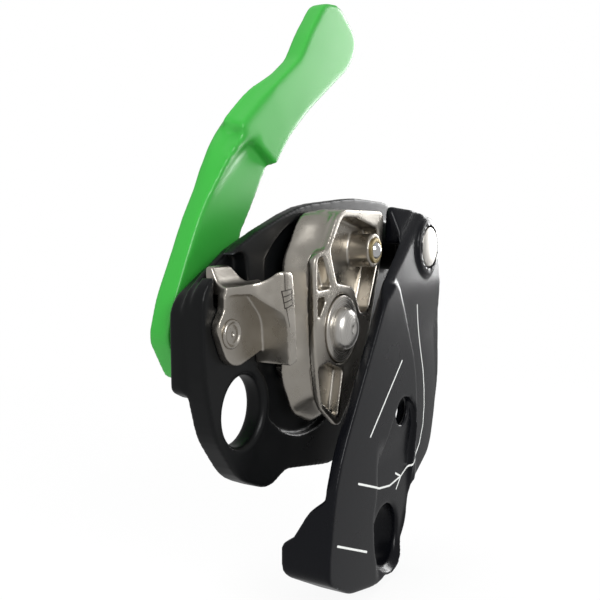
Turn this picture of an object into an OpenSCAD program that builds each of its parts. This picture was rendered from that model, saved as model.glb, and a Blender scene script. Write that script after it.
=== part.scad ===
// Assisted-braking belay device, cover plate swung open.
// Millimetres. X to the right and Z up as seen from the cover side, which faces -Y.
// The origin is the centre of the karabiner eye, half-way through the body plate.

/* [Body plate] */
// Thickness of the forged body plate
body_t = 6.4; // [5.6:0.1:8]
// Height of the pad behind the brake jaw and of the boss behind the cam
pad_t = 4; // [3:0.1:5]
// Depth of the round pocket behind the cam
pocket_depth = 2.6; // [2.4:0.1:3.6]
// Radius of the round pocket behind the cam
pocket_r = 32; // [30:0.5:33]
// Radius of the karabiner eye
eye_r = 9.5; // [8:0.1:10.5]
// Fillet on each mouth of the karabiner eye
eye_fillet = 1.5; // [0.8:0.1:1.8]
// Wall of the collar around the eye inside the pocket
eye_wall = 3.2; // [2.5:0.1:4]
// Distance from the eye to the cam axle across the plate
axle_x = 35; // [33:0.5:38]
// Distance from the eye to the cam axle up the plate
axle_z = 18.5; // [17:0.5:21]

/* [Cam] */
// Space for the rope between the body plate and the cam's front face
rope_space = 10.8; // [9:0.1:12]
// Thickness of the cam's front flange
cam_flange = 2.2; // [1.6:0.1:3]
// Depth of the cast pockets in the cam's front face
cam_pocket = 3.4; // [1:0.1:5]
// Turn of the cam from rest to its stop
cam_turn = 22; // [5:1:24]

/* [Axle and button] */
// Radius of the hollow axle
axle_r = 8; // [7.6:0.1:8.6]
// Radius of the axle's front collar
collar_r = 9.7; // [9:0.1:10]
// Radius of the release button
button_r = 6.2; // [5:0.1:6.4]
// How far the button stands out of the cam's front face
button_out = 3.9; // [3:0.1:3.9]

/* [Cover plate] */
// Wall of the cover plate
cover_wall = 3.4; // [2.6:0.1:4.5]
// Height of the cover's inner face above the cam's front face
cover_gap = 4.2; // [4:0.1:5]
// Angle that the open cover turns through to close
close_angle = 47; // [30:1:55]
// Radius of the hole that the button is pushed through
push_r = 4.6; // [3.5:0.1:6]
// Radius of the cover's pivot pin
pivot_r = 4.5; // [3.5:0.1:5]
// Radius of the pivot pin's head
pivot_head_r = 6.6; // [6:0.1:7.5]
// Depth of the pocket for the pivot pin's head
pivot_head_t = 1.8; // [1.2:0.1:2.2]
// How far the tab stands back from the cover's lower end
tab_reach = 11.9; // [9:0.1:12]

/* [Brake jaw] */
// Thickness of the jaw's base plate
jaw_base_t = 2.4; // [1.8:0.1:3.5]
// Radius of the jaw rivet's shank
jaw_rivet_r = 2.5; // [2:0.1:3]
// Radius of the jaw rivet's head
jaw_rivet_head_r = 3.9; // [3.2:0.1:4.4]

/* [Lever] */
// Thickness of the lever's moulded arm
lever_t = 6.4; // [5.4:0.1:8]
// How far the grip stands forward of the arm
grip_step = 3; // [0:0.1:4]
// Thickness of the steel plate inside the lever
core_t = 3; // [2:0.1:3.2]
// Radius of the lever's hub
hub_r = 16; // [15:0.5:18]
// Turn of the lever from rest to its stop
lever_turn = 55; // [20:1:60]

/* [Fits] */
// Radial clearance of a turning or sliding fit
run_gap = 0.05; // [0.02:0.01:0.1]
// Gap between faces that move past each other
face_gap = 0.35; // [0.3:0.05:0.5]

/* [Hidden] */
$fn = 64;
eps = 0.01;

// Levels through the thickness, front to back
body_front = -body_t / 2;
body_back = body_t / 2;
floor_y = body_front + pocket_depth;
cam_y = body_front - rope_space;
cover_in = cam_y - cover_gap;
cover_out = cover_in - cover_wall;
cam_back = body_front - face_gap;
pad_back = body_back + pad_t;
washer_t = 1.9;
lever_front = pad_back + washer_t + face_gap;
lever_back = lever_front + lever_t;
grip_front = lever_front - grip_step;
core_front = lever_front + (lever_t - core_t) / 2;
core_back = core_front + core_t;
nut_t = 2.4;
axle_back = lever_back + face_gap + nut_t;

// Cam axle and cover pivot
axle_at = [0, 0];
eye_at = [-axle_x, -axle_z];
pivot_at = [51, 22];
pivot_boss_r = 8;
head_rim = 3;
eye_boss_back = cam_y - 0.5;
pivot_washer_t = 1.1;
collar_t = 1.8;
collar_proud = 0.4;
bush_r = axle_r + 1.4;
cam_boss_r = 11.2;
cam_step = 2.9;

// Release button
bore_r = button_r + run_gap;
button_len = 12;
flange_r = button_r + 0.7;
flange_t = 4;
rear_bore_r = flange_r + run_gap;
shoulder_y = cam_y + button_len - flange_t;
button_well = 4;
button_wall = 0.9;
button_wire_r = 0.5;
plug_t = 3;

// Detent in the cam's upper lobe
detent_at = [18, 22];
detent_boss_r = 5.1;
detent_boss_out = 2;
detent_front = cam_y - detent_boss_out;
ball_r = 3;
ball_out = 1.9;
sleeve_wall = 0.8;
sleeve_len = 7.9;
sleeve_proud = 0.6;
sleeve_lip = 0.3;
detent_depth = 10.4;

// Pins, rivets and springs
jaw_rivet_at = [-44.3, 3.4];
jaw_screw_at = [-34, 7];
jaw_screw_bite = 1.4;
screw_head_t = 2.2;
stop_r = 17.5;
stop_angle = 125;
stop_pin_r = 2;
drive_r = 17;
drive_pin_r = 2;
drive_angle = -45;
lug_angle = drive_angle - lever_turn - cam_turn - 8.5;
lug_span = 18;
hub_boss_r = 11;
hub_seat_r = axle_r + 4;
cam_spring_turns = 0.95;
cam_wire_r = 0.6;
cam_spring_r = hub_seat_r + cam_wire_r + 0.8;
lever_spring_r = 12.2;
lever_wire_r = 0.7;
lever_screws_at = [[-24, 3], [-36, 14]];
core_hub_r = axle_r + 5;
lever_bush_r = axle_r + 1.6;
drive_boss_r = drive_pin_r + 1.4;
ramp_angle = 46;
ramp_len = 14;
ramp_outline = [[-15.9, 52.9, 0.5], [-20.7, 57.8, 0.5], [-34, 37, 0.5], [-24, 40, 0.5]];
lever_screw_r = 1.5;
lever_screw_head_r = 2.8;

// Outlines seen from the front, each corner as [x, z, radius], relative to the axle
body_outline = [[-53, 14.5, 8], [-52.6, -8, 40], [-48, -23.5, 20], [-38, -36.5, 20], [-23, -43.2, 12],
                [-13.5, -39.9, 12], [14, -45.6, 24], [36, -42, 20], [47, -17, 30], [66, 4, 18],
                [65.5, 36.3, 14], [30, 38.2, 90], [-6, 35.6, 70], [-36, 26, 60]];
body_inset = [[-53, 13, 8], [-52.6, -8, 40], [-48, -23.5, 20], [-38, -36.5, 20], [-23, -43.2, 12],
              [-13.5, -39.9, 12], [14, -45.6, 24], [36, -42, 20], [47, -17, 30], [65, 4, 18],
              [63.5, 33, 12], [30, 34.8, 90], [-6, 32.8, 70], [-36, 24.8, 60]];
pad_outline = [[-53, 11.5, 8], [-52.9, -11, 3], [-47.3, -13.8, 1.5], [-43.5, -8.3, 6], [-28, -5.5, 4],
               [-26, 12, 6], [-36, 20.5, 6]];
cover_outline = [[-17.5, -38, 60], [-21.8, -60, 20], [-22, -67.5, 5], [-8, -75.8, 16], [12, -80.8, 26],
                 [36.5, -75, 18], [41.5, -57.5, 1.5], [59, -49, 12], [67.6, -26, 30], [66.3, 2, 40],
                 [62.8, 24.5, 10], [55, 31.2, 12], [43, 34.2, 30], [31, 36, 3], [30.6, 23, 6],
                 [18, 12, 8]];
arm_ridge = [[-17.5, -38, 60], [-21.8, -60, 20], [-22, -67.5, 5], [-8, -75.8, 16], [12, -80.8, 26],
             [36.5, -75, 18], [42.2, -45, 40],
             [40, -18, 30], [25, 11.5, 4], [18, 12, 4]];
cam_outline = [[-16.8, 22, 4], [-9.5, 23.5, 3], [-1.5, 34.5, 9], [29.6, 33.8, 3], [27, 18, 12],
               [19, -3, 14], [9, -19.5, 5], [-1.5, -29, 3], [-13, -20.5, 12], [-16.3, -5, 60]];
cam_core = [[-14.2, 21, 4], [-9.5, 23.5, 3], [-2.5, 34.5, 9], [29.6, 33.8, 3], [27, 18, 12],
            [19, -3, 14], [9, -18, 5], [-1.5, -25, 5], [-11, -18, 12], [-13.3, -5, 60]];
cam_waist = [[-15.4, 21, 4], [-12, 23.5, 3], [-4.5, 34.5, 9], [29.6, 33.8, 3], [27, 18, 12],
             [19, -3, 14], [9.5, -19, 6], [-0.8, -27, 7], [-11.6, -20.5, 12], [-15, -6, 60]];
cam_rear = [[-17, 20.8, 5], [-14.4, 23.4, 3], [-7, 34, 9], [29.6, 33.8, 3], [27, 18, 12],
            [19, -3, 14], [10, -20, 8], [0, -29.4, 10], [-12, -24, 12], [-18, -12, 12], [-17, 4, 60]];
cam_pockets = [[[-14.6, 20.8, 1.5], [-11.2, 21.5, 1.2], [-6, 12.2, 1], [-14.6, 12.2, 1]],
               [[-14.4, 10, 1], [-8.6, 10, 1], [-14.4, 3, 1]],
               [[-14.2, -9.5, 1], [-8, -8.8, 1], [0.8, -12.2, 1], [-2.6, -25.8, 1.2], [-12, -19.5, 4]]];
lobe_pocket = [[-7, 23, 2], [0.2, 32.2, 5], [9, 32, 5], [24.6, 28.4, 2], [25, 19.5, 3], [18, 4, 3],
               [12.6, 3, 3], [8, 11.5, 3], [-3, 13.5, 2]];
jaw_base = [[-50.3, 5.5, 6], [-47, 9.5, 3], [-47, 14.2, 1.5], [-26.5, 14.2, 0.5], [-26, -4, 1],
            [-30, -2.6, 1.5], [-44.5, -6.4, 7]];
jaw_face = [[-46.5, 13.2, 0.5], [-37.5, 12.8, 3], [-30.6, 6, 8], [-29.6, -6.4, 0.6],
            [-25.9, -5.6, 0.8], [-27.9, 17.5, 2], [-31, 23, 1], [-46.5, 23, 1]];
jaw_land = [[-70, -8.5, 1], [-40, -9.6, 3], [-31, -8, 3], [-24.5, -5.4, 2], [-24.5, 30, 1], [-70, 30, 1]];
lip_pocket = [[-48, 10, 1], [-32.5, 10, 1], [-33.5, 24, 3], [-48, 21, 3]];
lip_pocket_t = 4.3;
dish_outline = [[28, -23.6, 7], [41, -30, 8], [39.8, -62, 14], [30, -79, 12], [9, -75, 12],
                [7.5, -58, 10], [17, -36, 10]];
jaw_plan = [[-47.5, 8.4, 1], [-47.5, 14.6, 1.5], [-41, 15.2, 2.5], [-37, 12.4, 3], [-33.8, rope_space, 3],
            [-24, rope_space, 0.4], [-24, 0, 0.5], [-32, 0, 2.5], [-37, 6.4, 7]];
head_wall = [[62.8, 24.5, 8], [55, 31.2, 12], [43, 34.2, 30], [32.2, 35.8, 2], [32, 23, 4], [36, 24, 3],
             [38, 29.5, 6], [51.5, 28, 8], [58.6, 19, 6], [62.4, 18.4, 1]];
flank_from = [24.5, 13.5];
flank_turn = 36.5;
flank_slope = 29;
tab_inside = [[-13.6, -30, 2], [-17.9, -60, 20], [-18, -65.6, 3], [-6, -72, 14], [4, -74.4, 14],
              [4, -90, 1], [20, -90, 1], [20, -30, 1]];
tab_profile = [[-1, -44.5, 0.5], [4.4, -48.8, 12], [8.6, -56.6, 3], [tab_reach, -58.8, 1],
               [tab_reach, -66.5, 6], [8.4, -72.5, 6], [-1, -84, 1]];
lever_outline = [[-51, 1.5, 6], [-48, 11, 30], [-36.8, 32.5, 90], [-24, 50.5, 60], [-9.5, 63.5, 30],
                 [4, 71, 6], [13, 62, 6], [5.7, 56.4, 20], [-3, 47.4, 3], [-12.5, 33.6, 60],
                 [-19.8, 24.4, 30], [-8, 14, 20], [8, 12, 6], [8, -12, 6], [-14, -12.5, 20],
                 [-30, -6, 20], [-43.5, -11, 4]];
grip_outline = [[-15.9, 52.9, 1], [-20.7, 57.8, 1], [-10, 66, 30], [3.4, 75, 30], [11.5, 80.5, 8],
                [17.8, 89.2, 20], [27.5, 100, 8], [38, 101.5, 10], [52, 92.5, 6], [47, 83, 20],
                [19.3, 66.1, 60], [5.7, 56.4, 20], [-3, 47.4, 1.5]];
core_outline = [[-45, 2, 3], [-42.5, 12, 30], [-32, 30, 90], [-20, 47, 60], [-2, 62, 40], [4, 60, 3],
                [-10, 42.5, 60], [-24.5, 24, 30], [-14, 12, 20], [0, 4, 4], [-4, -7, 4], [-28, -2, 20],
                [-40, -6, 4]];
core_web = [[-4, -7, 1], [4, -14, 2], [13.6, -14.4, 2], [14.4, -10, 2], [8, 0, 2]];

// ---------- outlines ----------

function unit(v) = v / norm(v);
function turned(p, centre, angle) =
    let (v = p - centre)
    centre + [v.x * cos(angle) - v.y * sin(angle), v.x * sin(angle) + v.y * cos(angle)];
function polar(r, angle) = [r * cos(angle), r * sin(angle)];
function wrapped(angle) = angle > 180 ? angle - 360 : angle < -180 ? angle + 360 : angle;

// Arc of radius r that rounds the corner b between a and c
function corner_arc(a, b, c, r) =
    let (u = unit(a - b),
         v = unit(c - b),
         half = acos(u * v) / 2,
         reach = min(r / tan(half), 0.48 * min(norm(a - b), norm(c - b))),
         radius = reach * tan(half),
         centre = b + unit(u + v) * radius / sin(half),
         from = b + u * reach - centre,
         to = b + v * reach - centre,
         start = atan2(from.y, from.x),
         sweep = wrapped(atan2(to.y, to.x) - start),
         steps = max(2, ceil(abs(sweep) / 10)))
    [for (i = [0:steps]) centre + polar(radius, start + sweep * i / steps)];

function rounded(corners) =
    let (n = len(corners),
         points = [for (c = corners) [c.x, c.y]])
    [for (i = [0:n - 1])
        each corner_arc(points[(i + n - 1) % n], points[i], points[(i + 1) % n], corners[i][2])];

module outline(corners) {
    polygon(rounded(corners));
}

// ---------- solids across the plate ----------

module at_axle() {
    translate([axle_x, 0, axle_z]) children();
}

module slab(front, back) {
    rotate([90, 0, 0]) translate([0, 0, -back]) linear_extrude(back - front) children();
}

module rod(at, r, front, back) {
    translate([at.x, front, at.y]) rotate([-90, 0, 0]) cylinder(r = r, h = back - front);
}

module taper(at, r_front, r_back, front, back) {
    translate([at.x, front, at.y]) rotate([-90, 0, 0]) cylinder(r1 = r_front, r2 = r_back, h = back - front);
}

module tube(at, r_out, r_in, front, back) {
    difference() {
        rod(at, r_out, front, back);
        rod(at, r_in, front - eps, back + eps);
    }
}

// Hole with a rounded mouth at both ends
module soft_hole(at, r, fillet, front, back) {
    depth = back - front;
    translate([at.x, front, at.y]) rotate([-90, 0, 0]) rotate_extrude()
        difference() {
            translate([0, -eps]) square([r + fillet, depth + 2 * eps]);
            translate([r + fillet, fillet]) circle(fillet);
            translate([r + fillet, depth - fillet]) circle(fillet);
            translate([r, fillet]) square([fillet + eps, depth - 2 * fillet]);
        }
}

// Points at even steps of an arc about a centre
function arc(centre, r, from, to, step) =
    let (steps = ceil(abs(to - from) / step))
    [for (i = [0:steps]) centre + polar(r, from + (to - from) * i / steps)];

// Round-ended slot along an arc about a centre, from one angle to another
module arc_slot(centre, r, width, from, to, front, back) {
    half = width / 2;
    side = to > from ? 180 : -180;
    slab(front, back) polygon(concat(
        arc(centre, r + half, from, to, 5),
        arc(centre + polar(r, to), half, to + side / 18, to + side * 17 / 18, 10),
        arc(centre, r - half, to, from, 5),
        arc(centre + polar(r, from), half, from + side * 19 / 18, from + side * 35 / 18, 10)));
}

// Round-wire spring wound about Y
module coil(at, r, wire_r, front, turns, length) {
    sides = 8;
    per_turn = 20;
    rings = round(turns * per_turn);
    points = [for (i = [0:rings], s = [0:sides - 1])
        let (a = 360 * i / per_turn,
             y = front + wire_r + (length - 2 * wire_r) * i / rings,
             t = 360 * s / sides,
             p = polar(r + wire_r * cos(t), a))
        [at.x + p.x, y + wire_r * sin(t), at.y + p.y]];
    walls = [for (i = [0:rings - 1], s = [0:sides - 1])
        let (a = i * sides + s,
             b = i * sides + (s + 1) % sides)
        each [[a, a + sides, b + sides], [a, b + sides, b]]];
    ends = [[for (s = [0:sides - 1]) s], [for (s = [sides - 1:-1:0]) rings * sides + s]];
    polyhedron(points, concat(walls, ends));
}

// ---------- body group ----------

module body_plate() {
    color("#26282b") at_axle() difference() {
        union() {
            difference() {
                body_slab();
                slab(body_front - eps, floor_y) difference() {
                    circle(pocket_r);
                    circle(hub_seat_r);
                    translate(eye_at) circle(eye_r + eye_wall);
                    outline(jaw_land);
                }
            }
            rod(axle_at, hub_boss_r, body_back - eps, pad_back);
            rod(pivot_at, pivot_boss_r, cam_y + 1.2, body_front + eps);
        }
        slab(body_front - eps, body_front + lip_pocket_t) outline(lip_pocket);
        soft_hole(eye_at, eye_r, eye_fillet, body_front, body_back);
        rod(axle_at, axle_r, cam_y, pad_back + 1);
        rod(pivot_at, pivot_r, cam_y, body_back + 1);
        rod(jaw_rivet_at, jaw_rivet_r, body_front - 1, pad_back + 1);
        rod(jaw_screw_at, jaw_rivet_r, body_front - 1, pad_back + 1);
        rod(jaw_screw_at, jaw_rivet_r + 1.6, pad_back - screw_head_t, pad_back + 1);
        rod(polar(stop_r, stop_angle), stop_pin_r, body_front - 1, body_back + 1);
        arc_slot(axle_at, drive_r, 2 * (drive_pin_r + face_gap), drive_angle, drive_angle - lever_turn,
                 body_front, body_back + 1);
    }
}

// Plate whose top edge thins towards the back, with a thick pad behind the jaw
module body_slab() {
    slab(body_front, body_front + 0.56 * body_t) outline(body_outline);
    slab(body_front + 0.5 * body_t, body_back) outline(body_inset);
    slab(body_back - eps, pad_back) outline(pad_outline);
}

module brake_jaw() {
    color("#b9b6ae") at_axle() difference() {
        union() {
            slab(body_front - jaw_base_t, body_front) outline(jaw_base);
            intersection() {
                slab(cam_y, body_front + 4) outline(jaw_face);
                jaw_saddle();
                translate([0, cam_y, -10]) linear_extrude(40) outline(jaw_plan);
            }
        }
        rod(jaw_rivet_at, jaw_rivet_r, cam_y - 1, body_front + 1);
        rod(jaw_screw_at, jaw_rivet_r, body_front - jaw_screw_bite, body_front + 1);
    }
}

// The jaw's section across the rope: a trough that runs up to a lip at the back
module jaw_saddle() {
    top = [[0, 20, 1.2], [4.4, 16.2, 8], [10.4, 14.6, 5], [13, 20.6, 1]];
    section = concat([[0, -8, 0.2]], top, [[14.8, 20, 0.8], [14.8, 13, 0.5], [rope_space, 11, 0.5],
                     [rope_space, -8, 0.2]]);
    translate([-60, cam_y, 0]) rotate([90, 0, 90]) linear_extrude(50) outline(section);
}

module jaw_rivet() {
    head_front = body_front - jaw_base_t - 0.8;
    color("#8f8d87") at_axle() union() {
        difference() {
            rod(jaw_rivet_at, jaw_rivet_head_r, head_front, body_front - jaw_base_t);
            taper(jaw_rivet_at, 0.8, 0.1, head_front - eps, head_front + 0.6);
        }
        rod(jaw_rivet_at, jaw_rivet_r, body_front - jaw_base_t, pad_back);
        rod(jaw_rivet_at, jaw_rivet_head_r, pad_back, pad_back + 0.8);
    }
}

module jaw_screw() {
    color("#8f8d87") at_axle() difference() {
        union() {
            rod(jaw_screw_at, jaw_rivet_r, body_front - jaw_screw_bite, pad_back);
            rod(jaw_screw_at, jaw_rivet_r + 1.6, pad_back - screw_head_t, pad_back);
        }
        slab(pad_back - 1.4, pad_back + 1) translate(jaw_screw_at) circle(1.5, $fn = 6);
    }
}

module axle() {
    color("#c9c7c0") at_axle() difference() {
        union() {
            rod(axle_at, collar_r, cam_y - collar_proud, cam_y - collar_proud + collar_t);
            rod(axle_at, axle_r, cam_y, axle_back);
        }
        rod(axle_at, bore_r, cam_y - 2, shoulder_y + eps);
        rod(axle_at, rear_bore_r, shoulder_y, axle_back + 1);
    }
}

module axle_washer() {
    color("#b0aea6") at_axle() tube(axle_at, hub_boss_r, axle_r, pad_back, pad_back + washer_t);
}

module axle_nut() {
    color("#a5a39b") at_axle() tube(axle_at, 11.4, axle_r, lever_back + face_gap, axle_back);
}

module cam_stop_pin() {
    color("#9b9992") at_axle() rod(polar(stop_r, stop_angle), stop_pin_r, cam_y + 7, body_back);
}

module pivot_pin() {
    head_front = cover_out + 0.4;
    color("#bdbbb4") at_axle() union() {
        rod(pivot_at, pivot_head_r, head_front, head_front + pivot_head_t);
        rod(pivot_at, pivot_r, head_front, body_back);
        rod(pivot_at, pivot_r + 1.5, body_back, body_back + 1);
    }
}

module pivot_washer() {
    color("#b0aea6") at_axle()
        tube(pivot_at, pivot_boss_r, pivot_r, cam_y + 1.2 - pivot_washer_t, cam_y + 1.2);
}

// ---------- release button ----------

module release_button() {
    tip = cam_y - button_out;
    color("#d2d0ca") at_axle() difference() {
        union() {
            taper(axle_at, button_r - 2, button_r, tip, tip + 1.4);
            rod(axle_at, button_r, tip + 1.4, cam_y + button_len);
            rod(axle_at, flange_r, shoulder_y, cam_y + button_len);
        }
        taper(axle_at, 0.9, 0.1, tip - eps, tip + 0.7);
        rod(axle_at, button_r - button_wall, cam_y + button_well, cam_y + button_len + 1);
    }
}

module button_spring() {
    front = cam_y + button_well;
    color("#8d8b85") at_axle()
        coil(axle_at, button_r - button_wall - button_wire_r - 0.1, button_wire_r, front, 7,
             axle_back - plug_t - front);
}

module button_plug() {
    color("#8d8b85") at_axle() rod(axle_at, rear_bore_r, axle_back - plug_t, axle_back);
}

// ---------- cam group ----------

module cam() {
    color("#b5b2a9") at_axle() difference() {
        union() {
            slab(cam_y, cam_y + cam_flange) outline(cam_outline);
            slab(cam_y + cam_flange - eps, cam_back - 2 * cam_step) outline(cam_core);
            slab(cam_back - 2 * cam_step - eps, cam_back - cam_step) outline(cam_waist);
            slab(cam_back - cam_step - eps, cam_back) outline(cam_rear);
            rod(axle_at, cam_boss_r + 1.6, cam_y + 1, cam_back);
            rod(detent_at, detent_boss_r, detent_front, cam_back);
            cam_lug();
        }
        cam_hollows();
        rod(axle_at, collar_r + face_gap, cam_y - 3, cam_y + collar_t + 0.2);
        rod(axle_at, bush_r, cam_y - 3, cam_back + 1);
        rod(detent_at, ball_r + sleeve_wall, detent_front - 1, detent_front + detent_depth);
        stop_notch();
    }
}

module cam_hollows() {
    slab(cam_y - 1, cam_y + cam_pocket) for (p = cam_pockets) outline(p);
    difference() {
        slab(cam_y - 1, cam_y + 5.2) outline(lobe_pocket);
        rod(axle_at, cam_boss_r + 0.6, cam_y - 2, cam_y + 6);
        rod(detent_at, detent_boss_r, cam_y - 3, cam_y + 6);
    }
}

// Shoulder that the lever's drive pin pushes
module cam_lug() {
    slab(cam_back - 1, floor_y - face_gap) intersection() {
        difference() {
            circle(drive_r + 2.2);
            circle(drive_r - 2.2);
        }
        polygon([[0, 0], polar(30, lug_angle), polar(30, lug_angle - lug_span)]);
    }
}

// Room for the stop pin over the cam's whole turn
module stop_notch() {
    arc_slot(axle_at, stop_r, 2 * (stop_pin_r + face_gap), stop_angle, stop_angle - cam_turn,
             cam_y + 7 - face_gap, floor_y);
}

module cam_bush() {
    color("#b08d57") at_axle()
        tube(axle_at, bush_r, axle_r + run_gap, cam_y + collar_t + 0.2, cam_back);
}

module cam_spring() {
    color("#7f7d78") at_axle()
        coil(axle_at, cam_spring_r, cam_wire_r, cam_back + 0.4, cam_spring_turns, floor_y - cam_back - 0.5);
}

module detent_sleeve() {
    front = detent_front - sleeve_proud;
    color("#b5974e") at_axle() difference() {
        rod(detent_at, ball_r + sleeve_wall, front, front + sleeve_len);
        rod(detent_at, ball_r - sleeve_lip, front - 1, front + sleeve_len);
        rod(detent_at, ball_r + run_gap, front + sleeve_lip, front + sleeve_len + 1);
    }
}

module detent_ball() {
    color("#dcdcdc") at_axle() translate([detent_at.x, detent_front - ball_out + ball_r, detent_at.y])
        rotate([90, 0, 0]) sphere(ball_r);
}

module detent_spring() {
    front = detent_front - ball_out + 2 * ball_r;
    back = detent_front + detent_depth;
    color("#8d8b85") at_axle() coil(detent_at, 1.9, 0.35, front, 4, back - front);
}

// ---------- cover plate ----------

cover_eye_at = turned(eye_at, pivot_at, close_angle);
push_at = turned(axle_at, pivot_at, close_angle);

module cover_plate() {
    color("#24262a") at_axle() difference() {
        union() {
            slab(cover_out + 1.2, cover_in) outline(cover_outline);
            slab(cover_out, cover_out + 1.3) outline(arm_ridge);
            rod(pivot_at, pivot_head_r + head_rim, cover_out, cover_in);
            rod(pivot_at, pivot_boss_r, cover_in - 1, cam_y + 1.2 - pivot_washer_t - face_gap);
            rod(cover_eye_at, eye_r + 2.7, cover_out, eye_boss_back);
            rod(push_at, button_r + 4, cover_out, cam_y - 1);
            cover_head_wall();
            cover_tab();
        }
        cover_flank();
        cover_dish();
        soft_hole(cover_eye_at, eye_r, eye_fillet, cover_out + 1.6, eye_boss_back);
        rod(cover_eye_at, eye_r + eye_fillet - eps, cover_out - 1, cover_out + 1.6);
        rod(push_at, push_r, cover_out - 1, cam_y);
        rod(pivot_at, pivot_r + run_gap, cover_out - 1, cam_y + 2);
        rod(pivot_at, pivot_head_r + 0.4, cover_out - 1, cover_out + 0.4 + pivot_head_t + run_gap);
        button_way();
    }
}

// Scooped floor that runs from the push hole down to the cover's eye
module cover_dish() {
    slab(cover_out - 1, cover_out + 2) outline(dish_outline);
}

// Way that the button's tip takes under the cover as it closes
module button_way() {
    r = norm(push_at - pivot_at);
    from = atan2(push_at.y - pivot_at.y, push_at.x - pivot_at.x);
    arc_slot(pivot_at, r, 2 * (button_r + face_gap), from, from - close_angle,
             cam_y - button_out - face_gap, cam_y);
}

// Wall that closes the space beside the pivot head
module cover_head_wall() {
    slab(cover_in - eps, cam_y + 1.2) difference() {
        outline(head_wall);
        translate(pivot_at) circle(pivot_boss_r + 1);
    }
}

// Everything in front of the slope at the head's upper left
module cover_flank() {
    translate([flank_from.x, cover_out, flank_from.y]) rotate([0, -flank_turn, 0])
        rotate([-flank_slope, 0, 0]) translate([-10, -20, 0]) cube([60, 20, 40]);
}

// Wall that stands back from the cover's lower end and ends in a hook
module cover_tab() {
    intersection() {
        slab(cover_in - 1, cover_in + 14) difference() {
            outline(cover_outline);
            outline(tab_inside);
        }
        translate([-40, cover_in, 0]) rotate([90, 0, 90]) linear_extrude(60) outline(tab_profile);
    }
}

// ---------- lever ----------

module lever_grip() {
    color("#3fa648") at_axle() difference() {
        union() {
            slab(lever_front, lever_back) outline(lever_outline);
            rod(axle_at, hub_r, lever_front, lever_back);
            slab(grip_front, grip_front + lever_t) outline(grip_outline);
            grip_ramp();
        }
        core_form();
        for (p = lever_screws_at) {
            rod(p, lever_screw_head_r, lever_back - 1.6, lever_back + 1);
            rod(p, lever_screw_r, core_back - 1, lever_back);
        }
    }
}

// Slope on the arm's outer edge that rises from the arm to the grip
module grip_ramp() {
    intersection() {
        slab(grip_front, lever_front + eps) outline(ramp_outline);
        translate([ramp_outline[0].x, lever_front + eps, ramp_outline[0].y]) rotate([0, -ramp_angle, 0])
            translate([0, 0, -20]) linear_extrude(40)
                polygon([[-ramp_len, 0], [1, 0], [1, -grip_step - eps], [0, -grip_step - eps]]);
    }
}

// Metal plate inside the lever, with its hub and the boss for the drive pin
module core_form() {
    drive_at = polar(drive_r, drive_angle);
    slab(core_front, core_back) outline(core_outline);
    slab(core_front, core_back) outline(core_web);
    rod(axle_at, core_hub_r, lever_front, lever_back);
    rod(drive_at, drive_boss_r, lever_front, lever_back);
}

module lever_core() {
    color("#9c9a93") at_axle() difference() {
        core_form();
        rod(axle_at, lever_bush_r, lever_front - 1, lever_back + 1);
        rod(polar(drive_r, drive_angle), drive_pin_r, lever_front - 1, lever_back + 1);
        for (p = lever_screws_at) rod(p, lever_screw_r, core_front - 1, core_back + 1);
    }
}

module lever_bush() {
    color("#b08d57") at_axle() tube(axle_at, lever_bush_r, axle_r + run_gap, lever_front, lever_back);
}

module lever_spring() {
    color("#7f7d78") at_axle()
        coil(axle_at, lever_spring_r, lever_wire_r, body_back, 2.75, lever_front - body_back - face_gap);
}

module lever_screws() {
    color("#6f6e6a") at_axle() for (p = lever_screws_at) difference() {
        union() {
            rod(p, lever_screw_head_r, lever_back - 1.6, lever_back);
            rod(p, lever_screw_r, core_front, lever_back - 1.6);
        }
        slab(lever_back - 0.9, lever_back + 1) translate(p) circle(1.3, $fn = 6);
    }
}

module drive_pin() {
    color("#9b9992") at_axle() rod(polar(drive_r, drive_angle), drive_pin_r, cam_back + face_gap, lever_back);
}

module hub_cap() {
    color("#1f2123") at_axle() difference() {
        rod(axle_at, 13.4, lever_back + face_gap, axle_back + 1.6);
        rod(axle_at, 11.4, lever_back, axle_back);
    }
}

body_plate();
brake_jaw();
jaw_rivet();
jaw_screw();
axle();
axle_washer();
axle_nut();
cam();
cam_bush();
cam_spring();
cam_stop_pin();
detent_sleeve();
detent_ball();
detent_spring();
release_button();
button_spring();
button_plug();
cover_plate();
pivot_pin();
pivot_washer();
lever_grip();
lever_core();
lever_bush();
lever_spring();
lever_screws();
drive_pin();
hub_cap();
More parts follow.
